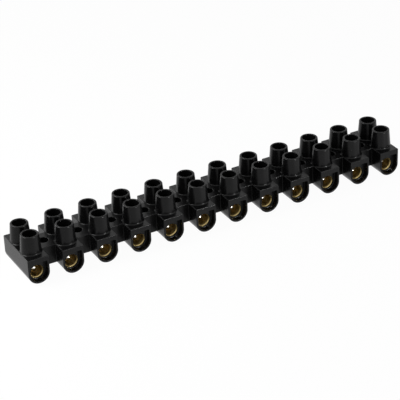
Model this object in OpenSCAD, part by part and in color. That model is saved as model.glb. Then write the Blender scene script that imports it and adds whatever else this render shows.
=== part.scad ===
// Screw terminal strip: a black moulding that carries a row of poles.
// Each pole holds a brass tube for the wires, and two clamp screws that
// stand in tapered towers. Webs with fixing holes join neighbouring poles.
// The moulding is drawn as one housing for each pole, with the web on its right.
// X runs along the strip, Y from front to rear, Z up from the round pole bottoms.

/* [Strip] */
// Number of poles
pole_count = 12; // [2:1:12]
// Distance between the centres of neighbouring poles
pitch = 12; // [11:0.1:16]
// Depth from the front face to the rear face
strip_depth = 19.1; // [18:0.1:26]

/* [Pole] */
// Width of one pole
pole_w = 7.3; // [7.1:0.05:8]
// Height from the round bottom to the flat top
pole_h = 9.2; // [9:0.1:10.5]

/* [Wire entry] */
// Side and bottom wall around the wire entry
entry_wall = 0.65; // [0.4:0.05:0.8]
// Roof over the wire entry
entry_roof = 1.75; // [1.2:0.05:2]
// Depth of the wire entry, from the face to the lip
entry_depth = 1.9; // [1:0.1:2.5]
// Thickness of the lip that keeps the brass tube in
lip_w = 0.5; // [0.4:0.05:0.8]
// Round opening in that lip
lip_d = 4.6; // [4.5:0.05:4.8]

/* [Tower] */
// Distance from the front tower's axis to the rear tower's axis
tower_spacing = 8.06; // [7.8:0.02:9.5]
// Height above the flat top of the pole
tower_h = 6.3; // [5:0.1:8]
// Outer diameter at the rim
tower_top_d = 6; // [5.6:0.05:6.4]
// Outer diameter at the foot, above its flare
tower_base_d = 6.9; // [6.4:0.05:7]
// Bore that the screw's head stands in
tower_bore_d = 4.65; // [4.5:0.05:5]
// Chamfer on the outer edge of the rim
tower_rim_chamfer = 0.3; // [0.1:0.05:0.4]
// Flare where the foot meets the flat top
tower_foot_flare = 0.35; // [0.1:0.05:0.6]

/* [Web] */
// Depth of the web that joins two poles
web_depth = 8.8; // [6:0.1:12]
// Thickness of the web, measured down from the flat top
web_h = 6.7; // [4:0.1:8]
// Fixing hole down through each web
fixing_hole_d = 3.4; // [2.8:0.1:3.8]

/* [Brass tube] */
// Outer diameter
tube_d = 5.4; // [5.2:0.05:5.6]
// Bore that takes the bare wire
wire_bore_d = 4; // [3.6:0.05:4.1]
// Height of the tube's axis above the round pole bottoms
wire_axis_z = 3.3; // [3.2:0.05:3.8]
// Lead-in chamfer at both mouths of the bore
mouth_chamfer = 0.25; // [0.1:0.05:0.3]
// Play between the tube and the moulding, all round and at both ends
seat_clearance = 0.05; // [0.02:0.01:0.1]

/* [Clamp screw] */
// Thread diameter
screw_d = 3; // [2.6:0.1:3.2]
// Length under the head
screw_l = 6; // [5.8:0.1:7]
// Head diameter
head_d = 4.2; // [3.8:0.1:4.3]
// Head height
head_h = 1.7; // [1.2:0.1:2]
// Chamfer on the upper edge of the head
head_chamfer = 0.25; // [0.1:0.05:0.4]
// Width of the screwdriver slot
slot_w = 0.8; // [0.5:0.1:1]
// Depth of the screwdriver slot
slot_depth = 0.9; // [0.5:0.1:1.1]
// Diameter of the plain point below the thread
point_d = 2.5; // [2:0.05:2.6]
// Length of that point
point_l = 1.5; // [0.8:0.1:2]
// Chamfer on the tip
tip_chamfer = 0.2; // [0.1:0.05:0.4]
// How far the tip stands in the wire bore
screw_reach = 2.1; // [0:0.1:2.4]
// Radial play of the thread in the brass tube
thread_clearance = 0.05; // [0.02:0.01:0.09]

/* [Hidden] */
$fn = 64;
// Overlap that lets a cut pass right through a face
cut_over = 1;
// Depth that a tower is rooted in the roof of its pole
tower_root = entry_roof / 2;
pole_r = pole_w / 2;
entry_r = pole_r - entry_wall;
entry_top = pole_h - entry_roof;
seat_r = tube_d / 2 + seat_clearance;
seat_l = strip_depth - 2 * (entry_depth + lip_w);
tube_l = seat_l - 2 * seat_clearance;
bore_r = wire_bore_d / 2;
bore_top = wire_axis_z + bore_r;
tower_top = pole_h + tower_h;
tip_z = bore_top - screw_reach;
head_z = tip_z + screw_l;
sides = ["front", "rear"];

function pole_x(i) = (i - (pole_count + 1) / 2) * pitch;
function tower_y(side) = (side == "front" ? -1 : 1) * tower_spacing / 2;
function two_digits(i) = i < 10 ? str("0", i) : str(i);
function housing_name(i) = str("housing_", two_digits(i));
function body_name(i) = str("brass_body_", two_digits(i));
function screw_name(side, i) = str("screw_", side, "_", two_digits(i));

// Outline with a flat top and a round bottom that is concentric with the pole's
module round_bottom_outline(r, top_z) {
    translate([0, pole_r]) circle(r);
    translate([-r, pole_r]) square([2 * r, top_z - pole_r]);
}

// Prism along Y, centred on Y = 0, with its outline drawn in X and Z
module along_wire(length) {
    translate([0, length / 2, 0]) rotate([90, 0, 0]) linear_extrude(length) children();
}

module pole_block() {
    along_wire(strip_depth) round_bottom_outline(pole_r, pole_h);
}

// Round-bottomed hollows at both faces, with the lip opening and the tube's seat between them
module wire_way() {
    entry_l = entry_depth + cut_over;
    for (end = [-1, 1]) translate([0, end * (strip_depth / 2 - entry_depth + entry_l / 2), 0])
        along_wire(entry_l) round_bottom_outline(entry_r, entry_top);
    translate([0, 0, wire_axis_z]) rotate([90, 0, 0]) {
        cylinder(d = lip_d, h = strip_depth, center = true);
        cylinder(r = seat_r, h = seat_l, center = true);
    }
}

// Tapered tower with a chamfered rim and a flared foot that keeps within the pole's width
module tower() {
    top_r = tower_top_d / 2;
    base_r = tower_base_d / 2;
    foot_r = base_r + tower_foot_flare;
    intersection() {
        rotate_extrude() polygon([
            [0, pole_h - tower_root],
            [foot_r, pole_h - tower_root],
            [foot_r, pole_h],
            [base_r, pole_h + tower_foot_flare],
            [top_r, tower_top - tower_rim_chamfer],
            [top_r - tower_rim_chamfer, tower_top],
            [0, tower_top]
        ]);
        translate([-pole_r, -foot_r, 0]) cube([pole_w, 2 * foot_r, tower_top]);
    }
}

// Bore for the screw, down to the brass tube
module tower_bore() {
    translate([0, 0, bore_top]) cylinder(d = tower_bore_d, h = tower_top - bore_top + cut_over);
}

module fixing_hole() {
    translate([pitch / 2, 0, pole_h - web_h - cut_over])
        cylinder(d = fixing_hole_d, h = web_h + 2 * cut_over);
}

// Web that reaches from one pole to the flank of the next
module web() {
    difference() {
        along_wire(web_depth) difference() {
            translate([0, pole_h - web_h]) square([pitch, web_h]);
            translate([pitch, 0]) round_bottom_outline(pole_r, pole_h + cut_over);
        }
        fixing_hole();
    }
}

// One pole of the moulding, with the web on its right unless it is the last
module housing(has_web) {
    color("#1c1c1d") difference() {
        union() {
            pole_block();
            for (side = sides) translate([0, tower_y(side), 0]) tower();
            if (has_web) web();
        }
        wire_way();
        for (side = sides) translate([0, tower_y(side), 0]) tower_bore();
    }
}

// Tube along the wire with chamfered mouths and a threaded hole for each screw
module brass_body() {
    mouth_r = bore_r + mouth_chamfer;
    color("#b08d45") difference() {
        translate([0, tube_l / 2, wire_axis_z]) rotate([90, 0, 0]) rotate_extrude() polygon([
            [mouth_r, 0],
            [tube_d / 2, 0],
            [tube_d / 2, tube_l],
            [mouth_r, tube_l],
            [bore_r, tube_l - mouth_chamfer],
            [bore_r, mouth_chamfer]
        ]);
        for (side = sides) translate([0, tower_y(side), wire_axis_z])
            cylinder(r = screw_d / 2 + thread_clearance, h = tube_d);
    }
}

module screw() {
    thread_r = screw_d / 2;
    point_r = point_d / 2;
    head_r = head_d / 2;
    head_top = head_z + head_h;
    color("#c9c6bd") difference() {
        rotate_extrude() polygon([
            [0, tip_z],
            [point_r - tip_chamfer, tip_z],
            [point_r, tip_z + tip_chamfer],
            [point_r, tip_z + point_l],
            [thread_r, tip_z + point_l + thread_r - point_r],
            [thread_r, head_z],
            [head_r, head_z],
            [head_r, head_top - head_chamfer],
            [head_r - head_chamfer, head_top],
            [0, head_top]
        ]);
        translate([-slot_w / 2, -head_d, head_top - slot_depth]) cube([slot_w, 2 * head_d, slot_depth + cut_over]);
    }
}

for (i = [1:pole_count]) translate([pole_x(i), 0, 0]) {
    housing(i < pole_count);
    brass_body();
    for (side = sides) translate([0, tower_y(side), 0])
        screw();
}
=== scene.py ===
"""Screw terminal strip: a satin black moulding, brass tubes and plated clamp screws.

The strip stands on a white studio floor. Its shapes are drawn in mm and then scaled to metres.
"""

import math

import bmesh
import bpy
from mathutils import Matrix, Vector


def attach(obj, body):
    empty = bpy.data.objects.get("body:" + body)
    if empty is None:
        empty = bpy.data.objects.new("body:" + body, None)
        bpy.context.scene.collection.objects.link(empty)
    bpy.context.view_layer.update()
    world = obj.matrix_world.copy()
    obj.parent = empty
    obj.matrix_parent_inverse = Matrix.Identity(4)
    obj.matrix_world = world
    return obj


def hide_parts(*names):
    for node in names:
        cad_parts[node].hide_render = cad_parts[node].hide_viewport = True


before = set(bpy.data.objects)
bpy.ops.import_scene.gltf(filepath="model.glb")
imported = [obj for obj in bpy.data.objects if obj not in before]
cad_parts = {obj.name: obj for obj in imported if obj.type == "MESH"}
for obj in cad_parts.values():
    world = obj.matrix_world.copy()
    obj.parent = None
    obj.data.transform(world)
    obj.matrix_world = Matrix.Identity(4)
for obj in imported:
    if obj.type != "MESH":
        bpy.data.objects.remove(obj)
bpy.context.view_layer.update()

# Sizes of the strip in mm, as in the CAD model
POLES = 12
PITCH = 12.0
DEPTH = 19.1
POLE_R = 3.65
POLE_H = 9.2
ENTRY_R = 3.0
ENTRY_TOP = 7.45
ENTRY_DEPTH = 1.9
LIP_W = 0.5
LIP_R = 2.3
TOWER_Y = 4.03
TOWER_TOP = 15.5
TOWER_TOP_R = 3.0
TOWER_BASE_R = 3.45
TOWER_BORE_R = 2.325
WEB_HALF = 4.4
WEB_BOTTOM = 2.5
HOLE_R = 1.7
WIRE_Z = 3.3
TUBE_L = 14.2
TUBE_R = 2.7
SEAT_R = 2.75
BORE_R = 2.0
CONE_R = 2.25
CONE_DEPTH = 0.25
THREAD_R = 1.5
POINT_R = 1.25
POINT_L = 1.5
TIP_Z = 3.2
HEAD_R = 2.1
HEAD_Z = 9.2
HEAD_TOP = 10.9
HEAD_ROUND = 0.25
SLOT_W = 0.8
SLOT_DEPTH = 0.9

# Roundings, fillets and draft of the moulding in mm
EDGE_ROUND = 0.2
ENTRY_CORNER = 0.4
MOUTH_ROUND = 0.15
ENTRY_DRAFT = 0.1
ENTRY_FILLET = 0.12
SEAT_ROUND = 0.25
RIM_ROUND = 0.3
RIM_INNER_ROUND = 0.2
FOOT_FILLET = 0.45
HOLE_ROUND = 0.2

# Box over each pole that the feet of its towers are trimmed to, in mm
TRIM_MARGIN = 0.05
TRIM_X = POLE_R - EDGE_ROUND - TRIM_MARGIN
TRIM_Y = 8.5
TRIM_BOTTOM = 8.0
TRIM_TOP = 16.0

# Overlaps in mm: cuts pass beyond a face, towers are rooted in their pole, and
# roundings start a little beyond the face that they run into
CUT_OVER = 1.0
LIP_OVER = 0.05
TOWER_ROOT = 0.6
FOOT_SINK = 0.015
MOUTH_LIFT = 0.003

# Fine detail of the brass tubes in mm
TUBE_EDGE = 0.05
TAP_R = 1.52
TAP_SINK = 0.12
TAP_FLARE = 0.25

# Fine detail of the screws in mm, with the collar's angles in degrees
THREAD_PITCH = 0.5
THREAD_DEPTH = 0.28
THREAD_LEAD = 0.1
THREAD_RUNOUT = 0.4
THREAD_RUNOUT_GAP = 0.25
FLANK_SLOPE = 3.0
FLANK_CREST = 0.15
TIP_FLAT_R = 0.4
TIP_ROUND = 0.12
COLLAR_R = 4.0
COLLAR_LOW = 25
COLLAR_HIGH = 33
COLLAR_STEP = 0.02
COLLAR_STEP_H = 0.04
NECK_GAP = 0.45
HEAD_FOOT_ROUND = 0.12
CROWN_H = 0.03
CROWN_SHARE = 0.55
SLOT_EDGE = 0.06
SLOT_FILLET = 0.08
SLOT_FLARE_W = 0.2
SLOT_FLARE_H = 0.5
SLOT_REACH = 3.0

# Angles in degrees: the moulding's edges above the first are rounded, and edges above the
# others stay sharp in the shading
ROUNDED_ANGLE = 25
CREASE_ANGLE = 32
SCREW_CREASE_ANGLE = 40

# Distances in mm under which points of a mesh are merged
RING_MERGE = 1e-5
BEVEL_MERGE = 1e-4
CUT_MERGE = 1e-3
DEGENERATE = 1e-4

# Colours
BLACK = (0.0022, 0.0022, 0.0023, 1)
BLACK_LIGHT = (0.0035, 0.0035, 0.0036, 1)
BLACK_WORN = (0.010, 0.010, 0.010, 1)
BRASS = (0.48, 0.37, 0.16, 1)
BRASS_DULL = (0.34, 0.26, 0.108, 1)
# Paler brass on every edge of the tubes: a painted edge highlight
BRASS_EDGE_HIGHLIGHT = (0.42, 0.35, 0.21, 1)
STEEL = (0.80, 0.79, 0.76, 1)
STEEL_DULL = (0.68, 0.67, 0.63, 1)
# Lighter steel on every edge of the screws: a painted edge highlight
STEEL_EDGE_HIGHLIGHT = (0.88, 0.87, 0.84, 1)
PAPER_DARK = (0.90, 0.90, 0.90, 1)
PAPER_LIGHT = (0.93, 0.93, 0.93, 1)
WHITE = (1, 1, 1, 1)

# Stretch of the noise that makes scuffs and tool marks
SCUFF_TURN = (0.3, 0.5, 0.6)
SCUFF_STRETCH = (1, 14, 14)
TUBE_MARKS = (60, 9000, 60)
SCREW_MARKS = (90, 90, 9000)

# Light of the white room, and the share of plain white that the floor shows
WORLD_LIGHT = 0.2
FLOOR_WHITE_SHARE = 0.96
FLOOR_HALF = 1.6
FLOOR_SEGMENTS = 8

# Soft lights: name, place and diameter in metres, power in watts
LIGHTS = (
    ("key", (-0.19, 0.05, 0.17), 0.12, 0.5),
    ("fill", (0.155, -0.425, 0.21), 0.15, 0.45),
    ("rim", (-0.30, 0.36, 0.16), 0.26, 0.9),
    ("low", (0.165, -0.40, 0.03), 0.05, 1.25),
)

# Camera fitted to the photograph: place in metres, angles in degrees, lens in mm
CAMERA_PLACE = (-0.23554, -0.44270, 0.28856)
CAMERA_AZIMUTH = 27.70
CAMERA_FALL = 29.43
CAMERA_ROLL = 2.351
CAMERA_LENS = 155.65
CAMERA_SENSOR = 36.0
CAMERA_NEAR = 0.01
CAMERA_FAR = 10.0

# Scale to metres, the poles' numbers, and the Y of the front and rear towers
MM = 0.001
NUMBERS = range(1, POLES + 1)
TOWER_ROWS = (-TOWER_Y, TOWER_Y)


def pole_x(number):
    """X of a pole's middle; the first pole is at the left end."""
    return (number - (POLES + 1) / 2) * PITCH


def arc(cx, cy, r, start, end, steps):
    """Points of an arc, angles in degrees, both ends included."""
    turns = [math.radians(start + (end - start) * k / steps) for k in range(steps + 1)]
    return [(cx + r * math.cos(a), cy + r * math.sin(a)) for a in turns]


def ring(r, z, steps):
    """Points of a circle about Z."""
    turns = [2 * math.pi * k / steps for k in range(steps)]
    return [(r * math.cos(a), r * math.sin(a), z) for a in turns]


def loft(rings, caps=True):
    """Mesh through rings of equally many points, by default closed by a cap at both ends."""
    bm = bmesh.new()
    loops = [[bm.verts.new(point) for point in points] for points in rings]
    for a, b in zip(loops, loops[1:]):
        for k in range(len(a)):
            bm.faces.new((a[k - 1], a[k], b[k], b[k - 1]))
    if caps:
        bm.faces.new(loops[0][::-1])
        bm.faces.new(loops[-1])
    bmesh.ops.recalc_face_normals(bm, faces=bm.faces)
    return bm


def lathe(profile, steps=96):
    """Solid of revolution about Z from (radius, height) points, with a flat cap at both ends."""
    return loft([ring(r, z, steps) for r, z in profile])


def along_y(bm):
    """Turns a part made about Z so that its axis runs along Y at the height of the wire."""
    bmesh.ops.rotate(bm, verts=bm.verts, matrix=Matrix.Rotation(math.radians(90), 3, "X"))
    bmesh.ops.translate(bm, verts=bm.verts, vec=(0, 0, WIRE_Z))
    return bm


def linked(name, data):
    """New object in the scene, with a mesh, light or camera as its data."""
    obj = bpy.data.objects.new(name, data)
    bpy.context.scene.collection.objects.link(obj)
    return obj


def as_object(bm, name):
    """Object made from an editable mesh, which is freed."""
    mesh = bpy.data.meshes.new(name)
    bm.to_mesh(mesh)
    bm.free()
    return linked(name, mesh)


def copies(part, places, name):
    """One object that holds a copy of a part at each place; the part is freed."""
    bm = bmesh.new()
    spare = bpy.data.meshes.new("spare")
    for place in places:
        copy = part.copy()
        bmesh.ops.translate(copy, verts=copy.verts, vec=place)
        copy.to_mesh(spare)
        copy.free()
        bm.from_mesh(spare)
    part.free()
    bpy.data.meshes.remove(spare)
    return as_object(bm, name)


def discard(obj):
    """Removes an object and its mesh."""
    mesh = obj.data
    bpy.data.objects.remove(obj)
    bpy.data.meshes.remove(mesh)


def cut_or_add(obj, tool, operation):
    """Applies one boolean to obj and removes the tool."""
    step = obj.modifiers.new("step", "BOOLEAN")
    step.operation = operation
    step.solver = "EXACT"
    step.object = tool
    depsgraph = bpy.context.evaluated_depsgraph_get()
    done = bpy.data.meshes.new_from_object(obj.evaluated_get(depsgraph))
    obj.modifiers.clear()
    old = obj.data
    obj.data = done
    bpy.data.meshes.remove(old)
    discard(tool)


def finish_mesh(mesh, crease_angle, coat):
    """Merges points that a boolean left on one spot, shades smooth but for sharper edges than
    the angle, scales to metres and gives the material."""
    mesh.shade_smooth()
    bm = bmesh.new()
    bm.from_mesh(mesh)
    bmesh.ops.remove_doubles(bm, verts=bm.verts, dist=CUT_MERGE)
    bmesh.ops.dissolve_degenerate(bm, edges=bm.edges, dist=DEGENERATE)
    for edge in bm.edges:
        edge.smooth = edge.calc_face_angle(0) < math.radians(crease_angle)
    bm.to_mesh(mesh)
    bm.free()
    mesh.transform(Matrix.Scale(MM, 4))
    mesh.materials.clear()
    mesh.materials.append(coat)


def entry_outline(inset, steps=28, corner_steps=4):
    """Points in X and Z of a wire entry: round bottom, flat top and rounded top corners."""
    r, top, corner = ENTRY_R - inset, ENTRY_TOP - inset, ENTRY_CORNER - inset
    points = arc(0, POLE_R, r, 180, 360, steps)
    points += arc(r - corner, top - corner, corner, 0, 90, corner_steps)
    points += arc(corner - r, top - corner, corner, 90, 180, corner_steps)
    return points


def wire_entry(side, steps=4):
    """Cut for the wire entry on one side, -1 for the front and 1 for the rear: rounded edge of
    the face, drafted wall, fillet at the lip."""
    face = DEPTH / 2
    turns = [math.radians(90 * k / steps) for k in range(steps + 1)]
    stations = [(face + CUT_OVER, -MOUTH_ROUND)]
    for a in turns:
        y = face + MOUTH_LIFT - MOUTH_ROUND * (1 - math.cos(a))
        stations.append((y, -MOUTH_ROUND * (1 - math.sin(a))))
    for a in turns:
        y = face - ENTRY_DEPTH + ENTRY_FILLET * (1 - math.sin(a))
        stations.append((y, ENTRY_DRAFT + ENTRY_FILLET * (1 - math.cos(a))))
    return loft([[(x, side * y, z) for x, z in entry_outline(inset)] for y, inset in stations])


def moulding_body():
    """Row of round-bottomed poles and the webs between them: one closed mesh, rounded edges."""
    bm = bmesh.new()
    low = math.degrees(math.asin((POLE_R - WEB_BOTTOM) / POLE_R))
    right = [(POLE_R, POLE_H)] + arc(0, POLE_R, POLE_R, 0, -low, steps=4)
    bottom = arc(0, POLE_R, POLE_R, -low, -180 + low, steps=24)[1:-1]
    left = [(-x, z) for x, z in right]
    outline = right + bottom + left[::-1]
    count, flank = len(outline), len(right)
    stations = (-DEPTH / 2, -WEB_HALF, WEB_HALF, DEPTH / 2)
    poles = []
    for number in NUMBERS:
        x0 = pole_x(number)
        rows = [[bm.verts.new((x0 + x, y, z)) for x, z in outline] for y in stations]
        poles.append(rows)
        for s, (a, b) in enumerate(zip(rows, rows[1:])):
            for k in range(count):
                # The flank stays open where a web joins
                n = (k + 1) % count
                web_right = s == 1 and number < POLES and 0 < n < flank
                web_left = s == 1 and number > 1 and n > 0 and k >= count - flank
                if not (web_right or web_left):
                    bm.faces.new((a[k], b[k], b[n], a[n]))
        bm.faces.new(rows[0])
        bm.faces.new(rows[-1][::-1])
    for a, b in zip(poles, poles[1:]):
        for s in (1, 2):
            ra, rb = a[s][:flank], b[s][::-1][:flank]
            for k in range(flank - 1):
                bm.faces.new((ra[k], ra[k + 1], rb[k + 1], rb[k]))
        for k in (0, flank - 1):
            bm.faces.new((a[1][k], a[2][k], b[2][-1 - k], b[1][-1 - k]))
    bmesh.ops.recalc_face_normals(bm, faces=bm.faces)
    sharp = [e for e in bm.edges if e.calc_face_angle(0) > math.radians(ROUNDED_ANGLE)]
    bmesh.ops.bevel(
        bm,
        geom=sharp,
        offset=EDGE_ROUND,
        segments=3,
        profile=0.5,
        affect="EDGES",
        clamp_overlap=True,
        miter_outer="SHARP",
        miter_inner="SHARP",
    )
    bmesh.ops.remove_doubles(bm, verts=bm.verts, dist=BEVEL_MERGE)
    return bm


def tower():
    """Tapered tower with a rounded rim and a fillet at its foot."""
    slope = math.degrees(math.atan2(TOWER_BASE_R - TOWER_TOP_R, TOWER_TOP - POLE_H))
    core_r, rim_r, foot_r = 1.0, TOWER_TOP_R - RIM_ROUND, TOWER_BASE_R + FOOT_FILLET
    root_z, foot_z = POLE_H - TOWER_ROOT, POLE_H - FOOT_SINK + FOOT_FILLET
    profile = [(core_r, root_z), (foot_r, root_z)]
    profile += arc(foot_r, foot_z, FOOT_FILLET, 270, 180 + slope, steps=6)
    profile += arc(rim_r, TOWER_TOP - RIM_ROUND, RIM_ROUND, slope, 90, steps=5)
    profile += [(core_r, TOWER_TOP)]
    return lathe(profile)


def tower_trim():
    """Box that keeps the feet of a pole's towers within its flat top."""
    corners = [(-TRIM_X, -TRIM_Y), (TRIM_X, -TRIM_Y), (TRIM_X, TRIM_Y), (-TRIM_X, TRIM_Y)]
    return loft([[(x, y, z) for x, y in corners] for z in (TRIM_BOTTOM, TRIM_TOP)])


def tower_bore():
    """Cut down through a tower and its pole's roof, with a rounded inner rim."""
    lip = TOWER_BORE_R + RIM_INNER_ROUND
    profile = [(TOWER_BORE_R, WIRE_Z + BORE_R)]
    profile += arc(lip, TOWER_TOP - RIM_INNER_ROUND, RIM_INNER_ROUND, 180, 90, steps=4)
    profile += [(lip, TOWER_TOP + CUT_OVER)]
    return lathe(profile)


def fixing_hole():
    """Cut down through a web, with rounded edges above and below."""
    lip = HOLE_R + HOLE_ROUND
    profile = [(lip, WEB_BOTTOM - CUT_OVER)]
    profile += arc(lip, WEB_BOTTOM + HOLE_ROUND, HOLE_ROUND, 270, 180, steps=4)
    profile += arc(lip, POLE_H - HOLE_ROUND, HOLE_ROUND, 180, 90, steps=4)
    profile += [(lip, POLE_H + CUT_OVER)]
    return lathe(profile, steps=48)


def tube_seat():
    """Cut for the brass tube between the two wire entries, with a rounded lip at both ends."""
    half = DEPTH / 2 - ENTRY_DEPTH
    lip = LIP_R + SEAT_ROUND
    end = [(lip, half + LIP_OVER)]
    end += arc(lip, half - SEAT_ROUND, SEAT_ROUND, 90, 180, steps=4)
    end += [(LIP_R, half - LIP_W), (SEAT_R, half - LIP_W)]
    profile = end + [(r, -y) for r, y in end[::-1]]
    return along_y(lathe(profile[::-1]))


def moulding(coat):
    """The whole moulding: poles and webs, with the towers added and all openings cut."""
    poles = [(pole_x(number), 0, 0) for number in NUMBERS]
    tower_places = [(x, y, 0) for x, _, _ in poles for y in TOWER_ROWS]
    hole_places = [(x + PITCH / 2, 0, 0) for x, _, _ in poles[:-1]]
    obj = as_object(moulding_body(), "moulding")
    towers = copies(tower(), tower_places, "towers")
    cut_or_add(towers, copies(tower_trim(), poles, "trim"), "INTERSECT")
    cut_or_add(obj, towers, "UNION")
    for part, places, name in (
        (wire_entry(-1), poles, "front_entries"),
        (wire_entry(1), poles, "rear_entries"),
        (tube_seat(), poles, "seats"),
        (tower_bore(), tower_places, "bores"),
        (fixing_hole(), hole_places, "holes"),
    ):
        cut_or_add(obj, copies(part, places, name), "DIFFERENCE")
    finish_mesh(obj.data, CREASE_ANGLE, coat)
    even = obj.modifiers.new("even", "WEIGHTED_NORMAL")
    even.keep_sharp = True
    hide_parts(*[f"housing_{number:02d}" for number in NUMBERS])
    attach(obj, "strip")


def brass_tube(steps=64):
    """Tube along the wire with broken outer edges and a cone at both mouths of its bore."""
    half = TUBE_L / 2
    profile = [(TUBE_R, TUBE_EDGE - half), (TUBE_R, half - TUBE_EDGE)]
    profile += [(TUBE_R - TUBE_EDGE, half), (CONE_R, half), (BORE_R, half - CONE_DEPTH)]
    profile += [(BORE_R, CONE_DEPTH - half), (CONE_R, -half), (TUBE_R - TUBE_EDGE, -half)]
    bm = loft([ring(r, z, steps) for r, z in profile + profile[:1]], caps=False)
    bmesh.ops.remove_doubles(bm, verts=bm.verts, dist=RING_MERGE)
    bmesh.ops.recalc_face_normals(bm, faces=bm.faces)
    return along_y(bm)


def tap():
    """Cut for a clamp screw in the brass tube, countersunk."""
    rim, flare = WIRE_Z + TUBE_R, TAP_R + TAP_FLARE
    profile = [(TAP_R, WIRE_Z), (TAP_R, rim - TAP_SINK)]
    profile += [(flare, rim + TAP_SINK), (flare, rim + CUT_OVER)]
    return lathe(profile, steps=48)


def tubes(coat):
    """Brass tubes with a hole for each clamp screw."""
    whole = as_object(brass_tube(), "tube")
    taps = copies(tap(), [(0, y, 0) for y in TOWER_ROWS], "taps")
    cut_or_add(whole, taps, "DIFFERENCE")
    for number in NUMBERS:
        obj = linked(f"brass_tube_{number:02d}", whole.data.copy())
        obj.data.transform(Matrix.Translation((pole_x(number), 0, 0)))
        finish_mesh(obj.data, CREASE_ANGLE, coat)
        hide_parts(f"brass_body_{number:02d}")
        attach(obj, "strip")
    discard(whole)


def thread_radius(z, turn):
    """Radius of the threaded shank at height z above the tip and at a turn from 0 to 1."""
    phase = (z / THREAD_PITCH - turn) % 1.0
    flank = min(1.0, max(0.0, abs(phase - 0.5) * FLANK_SLOPE - FLANK_CREST))
    thread_end = HEAD_Z - TIP_Z - THREAD_RUNOUT_GAP
    runout = min(1.0, max(0.0, (thread_end - z) / THREAD_RUNOUT))
    lead_in = POINT_R + max(0.0, z - POINT_L)
    return min(THREAD_R - THREAD_DEPTH * flank * runout, lead_in)


def clamp_screw(steps=40, rows=72):
    """Screw about Z: point with an upset collar, helical thread, cheese head, rounded edges."""
    tip = arc(POINT_R - TIP_ROUND, TIP_Z + TIP_ROUND, TIP_ROUND, -90, COLLAR_LOW, steps=6)
    r, z = tip[-1]
    low = math.radians(COLLAR_LOW)
    collar_x, collar_z = r - COLLAR_R * math.cos(low), z - COLLAR_R * math.sin(low)
    tip += arc(collar_x, collar_z, COLLAR_R, COLLAR_LOW, COLLAR_HIGH, steps=5)[1:]
    neck = tip[-1][0] - COLLAR_STEP
    tip.append((neck, tip[-1][1] + COLLAR_STEP_H))
    tip.append((neck, TIP_Z + POINT_L - NECK_GAP))
    rings = [ring(TIP_FLAT_R, TIP_Z, steps)] + [ring(r, z, steps) for r, z in tip]
    start, length = POINT_L - THREAD_LEAD, HEAD_Z - TIP_Z
    for k in range(rows + 1):
        z = start + (length - start) * k / rows
        radii = [thread_radius(z, t / steps) for t in range(steps)]
        circle = ring(1.0, TIP_Z + z, steps)
        rings.append([(r * x, r * y, h) for r, (x, y, h) in zip(radii, circle)])
    foot = HEAD_FOOT_ROUND
    head = arc(HEAD_R - foot, HEAD_Z + foot, foot, -90, 0, steps=3)
    head += arc(HEAD_R - HEAD_ROUND, HEAD_TOP - HEAD_ROUND, HEAD_ROUND, 0, 90, steps=5)
    head += [(HEAD_R * CROWN_SHARE, HEAD_TOP + CROWN_H)]
    rings += [ring(r, z, steps) for r, z in head]
    return loft(rings)


def slot_cutter():
    """Screwdriver slot across the head, with its upper edges broken."""
    half, low = SLOT_W / 2, HEAD_TOP - SLOT_DEPTH
    edge = half + SLOT_EDGE
    side = arc(half - SLOT_FILLET, low + SLOT_FILLET, SLOT_FILLET, -90, 0, steps=3)
    side += [(half, HEAD_TOP - SLOT_EDGE), (edge, HEAD_TOP)]
    side += [(edge + SLOT_FLARE_W, HEAD_TOP + SLOT_FLARE_H)]
    outline = side + [(-x, z) for x, z in side[::-1]]
    return loft([[(x, y, z) for x, z in outline] for y in (-SLOT_REACH, SLOT_REACH)])


def slot_angle(number, s):
    """Angle of a screw's slot in degrees, spread so that neighbours differ."""
    return (47 * number + 113 * s + 31 * (number * number % 7)) % 360


def screws(coat):
    """All clamp screws, each turned to its own angle."""
    whole = as_object(clamp_screw(), "screw")
    cut_or_add(whole, as_object(slot_cutter(), "slot"), "DIFFERENCE")
    for s, side in enumerate(("front", "rear")):
        for number in NUMBERS:
            obj = linked(f"clamp_screw_{side}_{number:02d}", whole.data.copy())
            turn = math.radians(slot_angle(number, s))
            obj.data.transform(Matrix.Rotation(turn, 4, "Z"))
            obj.data.transform(Matrix.Translation((pole_x(number), TOWER_ROWS[s], 0)))
            finish_mesh(obj.data, SCREW_CREASE_ANGLE, coat)
            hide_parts(f"screw_{side}_{number:02d}")
            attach(obj, f"clamp_{side}_{number:02d}")
    discard(whole)


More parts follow.
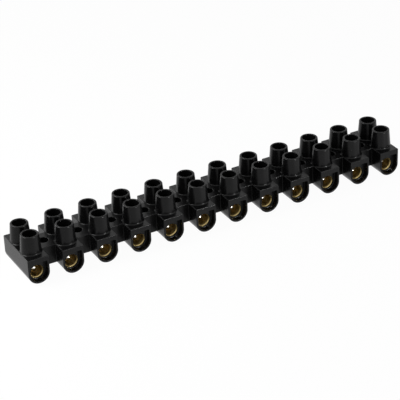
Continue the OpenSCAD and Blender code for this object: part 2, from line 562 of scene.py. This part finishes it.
class Nodes:
    """Short way to build a node tree."""

    def __init__(self, tree):
        self.tree = tree
        tree.nodes.clear()

    def add(self, kind, inputs=None, **settings):
        node = self.tree.nodes.new(kind)
        for key, value in settings.items():
            setattr(node, key, value)
        for key, value in (inputs or {}).items():
            if isinstance(value, bpy.types.NodeSocket):
                self.tree.links.new(value, node.inputs[key])
            else:
                node.inputs[key].default_value = value
        return node

    def calc(self, operation, *values):
        """Result of a maths node."""
        return self.add("ShaderNodeMath", dict(enumerate(values)), operation=operation).outputs[0]

    def place(self):
        return self.add("ShaderNodeTexCoord").outputs["Object"]

    def stretched(self, vector, scale, rotation=(0, 0, 0)):
        return self.add(
            "ShaderNodeMapping", {"Vector": vector, "Rotation": rotation, "Scale": scale}
        ).outputs[0]

    def noise(self, vector, scale, detail, roughness=0.5):
        return self.add(
            "ShaderNodeTexNoise",
            {"Vector": vector, "Scale": scale, "Detail": detail, "Roughness": roughness},
        ).outputs["Fac"]

    def ramp(self, value, span, to=(0.0, 1.0)):
        """Value that runs over one span, made to run over another."""
        return self.add(
            "ShaderNodeMapRange",
            {
                "Value": value,
                "From Min": span[0],
                "From Max": span[1],
                "To Min": to[0],
                "To Max": to[1],
            },
        ).outputs["Result"]

    def blend(self, factor, a, b):
        """Mix of two colours, by the places of a mix node's colour sockets."""
        factor_in, a_in, b_in, colour_out = 0, 6, 7, 2
        inputs = {factor_in: factor, a_in: a, b_in: b}
        return self.add("ShaderNodeMix", inputs, data_type="RGBA").outputs[colour_out]

    def edges(self, radius, span):
        """Mask of edges: where the rounded normal turns away from the true one."""
        rounded = self.add("ShaderNodeBevel", {"Radius": radius}, samples=4).outputs["Normal"]
        true = self.add("ShaderNodeNewGeometry").outputs["Normal"]
        same = self.add("ShaderNodeVectorMath", {0: rounded, 1: true}, operation="DOT_PRODUCT")
        return self.ramp(same.outputs["Value"], span)

    def bump(self, height, strength, distance, normal=None):
        inputs = {"Height": height, "Strength": strength, "Distance": distance}
        if normal is not None:
            inputs["Normal"] = normal
        return self.add("ShaderNodeBump", inputs).outputs["Normal"]

    def principled(self, inputs):
        return self.add("ShaderNodeBsdfPrincipled", inputs).outputs[0]

    def seen(self):
        """1 on rays from the camera, from gloss and through glass, which all see plain white."""
        path = self.add("ShaderNodeLightPath").outputs
        mirrored = self.calc("MAXIMUM", path["Is Glossy Ray"], path["Is Transmission Ray"])
        return self.calc("MAXIMUM", path["Is Camera Ray"], mirrored)

    def mix_shaders(self, factor, a, b):
        return self.add("ShaderNodeMixShader", {0: factor, 1: a, 2: b}).outputs[0]


def material(name):
    made = bpy.data.materials.new(name)
    made.use_nodes = True
    return made, Nodes(made.node_tree)


def plastic():
    """Satin black moulding: faint mottling, fine grain, short scuffs and slightly worn edges."""
    made, n = material("black_moulding")
    place = n.place()
    broad = n.noise(place, scale=120.0, detail=3.0)
    mottle = n.noise(place, scale=1400.0, detail=2.0)
    grain = n.noise(place, scale=6500.0, detail=2.0)
    streaks = n.stretched(place, SCUFF_STRETCH, SCUFF_TURN)
    scuff = n.ramp(n.noise(streaks, scale=240.0, detail=3.0, roughness=0.6), (0.63, 0.74))
    worn = n.calc("MULTIPLY", n.edges(radius=0.00018, span=(0.96, 0.8)), mottle)
    colour = n.blend(n.ramp(broad, (0.3, 0.7)), BLACK, BLACK_LIGHT)
    rough = n.ramp(broad, (0.3, 0.7), to=(0.22, 0.29))
    for mask, more in ((scuff, 0.05), (worn, 0.06)):
        rough = n.calc("MULTIPLY_ADD", mask, more, rough)
    relief = n.bump(mottle, strength=0.05, distance=0.00008)
    shader = n.principled(
        {
            "Base Color": n.blend(worn, colour, BLACK_WORN),
            "Roughness": rough,
            "IOR": 1.5,
            "Specular IOR Level": 0.165,
            "Normal": n.bump(grain, strength=0.10, distance=0.00003, normal=relief),
        }
    )
    n.add("ShaderNodeOutputMaterial", {"Surface": shader})
    return made


def metal(name, base, dull, edge_highlight, rough_span, marks_stretch):
    """Turned metal: tool marks along one axis, dull patches, and every edge painted in a paler
    colour as a painted edge highlight.
    """
    made, n = material(name)
    place = n.place()
    broad = n.noise(place, scale=700.0, detail=4.0)
    fine = n.noise(place, scale=9000.0, detail=2.0)
    marks = n.noise(n.stretched(place, marks_stretch), scale=1.0, detail=2.0)
    # Mask of the edges, which take the painted edge highlight colour
    edge = n.edges(radius=0.0001, span=(0.95, 0.75))
    colour = n.blend(n.ramp(broad, (0.35, 0.7)), base, dull)
    relief = n.bump(marks, strength=0.25, distance=0.00002)
    shader = n.principled(
        {
            "Base Color": n.blend(edge, colour, edge_highlight),
            "Metallic": 1.0,
            "Roughness": n.ramp(broad, (0.3, 0.7), to=rough_span),
            "Normal": n.bump(fine, strength=0.12, distance=0.00002, normal=relief),
        }
    )
    n.add("ShaderNodeOutputMaterial", {"Surface": shader})
    return made


def paper():
    """White floor: mostly plain white where it is seen, and lit, with the strip's shadow."""
    made, n = material("paper")
    grain = n.noise(n.place(), scale=900.0, detail=3.0)
    lit = n.principled(
        {
            "Base Color": n.blend(grain, PAPER_DARK, PAPER_LIGHT),
            "Roughness": 0.9,
            "Specular IOR Level": 0.1,
        }
    )
    white = n.add("ShaderNodeEmission", {"Color": WHITE, "Strength": 1.0}).outputs[0]
    share = n.calc("MULTIPLY", n.seen(), FLOOR_WHITE_SHARE)
    n.add("ShaderNodeOutputMaterial", {"Surface": n.mix_shaders(share, lit, white)})
    return made


def white_floor():
    bm = bmesh.new()
    bmesh.ops.create_grid(
        bm, x_segments=FLOOR_SEGMENTS, y_segments=FLOOR_SEGMENTS, size=FLOOR_HALF
    )
    floor = as_object(bm, "floor")
    floor.data.materials.append(paper())


def white_room():
    """Surroundings that are seen as plain white and light the strip softly."""
    world = bpy.data.worlds.new("white_room")
    bpy.context.scene.world = world
    world.use_nodes = True
    n = Nodes(world.node_tree)
    soft, white = [
        n.add("ShaderNodeBackground", {"Color": WHITE, "Strength": strength}).outputs[0]
        for strength in (WORLD_LIGHT, 1.0)
    ]
    n.add("ShaderNodeOutputWorld", {"Surface": n.mix_shaders(n.seen(), soft, white)})


def softbox(name, place, size, watts):
    """Round soft light that faces the strip."""
    light = bpy.data.lights.new(name, "AREA")
    light.shape = "DISK"
    light.size = size
    light.energy = watts
    lamp = linked(name, light)
    lamp.location = place
    lamp.rotation_mode = "QUATERNION"
    lamp.rotation_quaternion = (-lamp.location).to_track_quat("-Z", "Y")


def photo_camera():
    """Camera of the photograph."""
    lens = bpy.data.cameras.new("camera")
    lens.sensor_width = CAMERA_SENSOR
    lens.lens = CAMERA_LENS
    lens.clip_start, lens.clip_end = CAMERA_NEAR, CAMERA_FAR
    azimuth, fall, roll = map(math.radians, (CAMERA_AZIMUTH, CAMERA_FALL, CAMERA_ROLL))
    ahead = Vector(
        (math.sin(azimuth) * math.cos(fall), math.cos(azimuth) * math.cos(fall), -math.sin(fall))
    )
    level = ahead.cross(Vector((0, 0, 1))).normalized()
    right = level * math.cos(roll) + ahead.cross(level) * math.sin(roll)
    up = right.cross(ahead)
    axes = Matrix((right, up, -ahead)).transposed().to_4x4()
    camera = linked("camera", lens)
    camera.matrix_world = Matrix.Translation(CAMERA_PLACE) @ axes
    bpy.context.scene.camera = camera


moulding(plastic())
tubes(metal("brass", BRASS, BRASS_DULL, BRASS_EDGE_HIGHLIGHT, (0.30, 0.42), TUBE_MARKS))
screws(metal("plated_steel", STEEL, STEEL_DULL, STEEL_EDGE_HIGHLIGHT, (0.16, 0.28), SCREW_MARKS))
white_floor()
white_room()
for lamp_settings in LIGHTS:
    softbox(*lamp_settings)
photo_camera()

bpy.context.scene.view_settings.view_transform = "Standard"
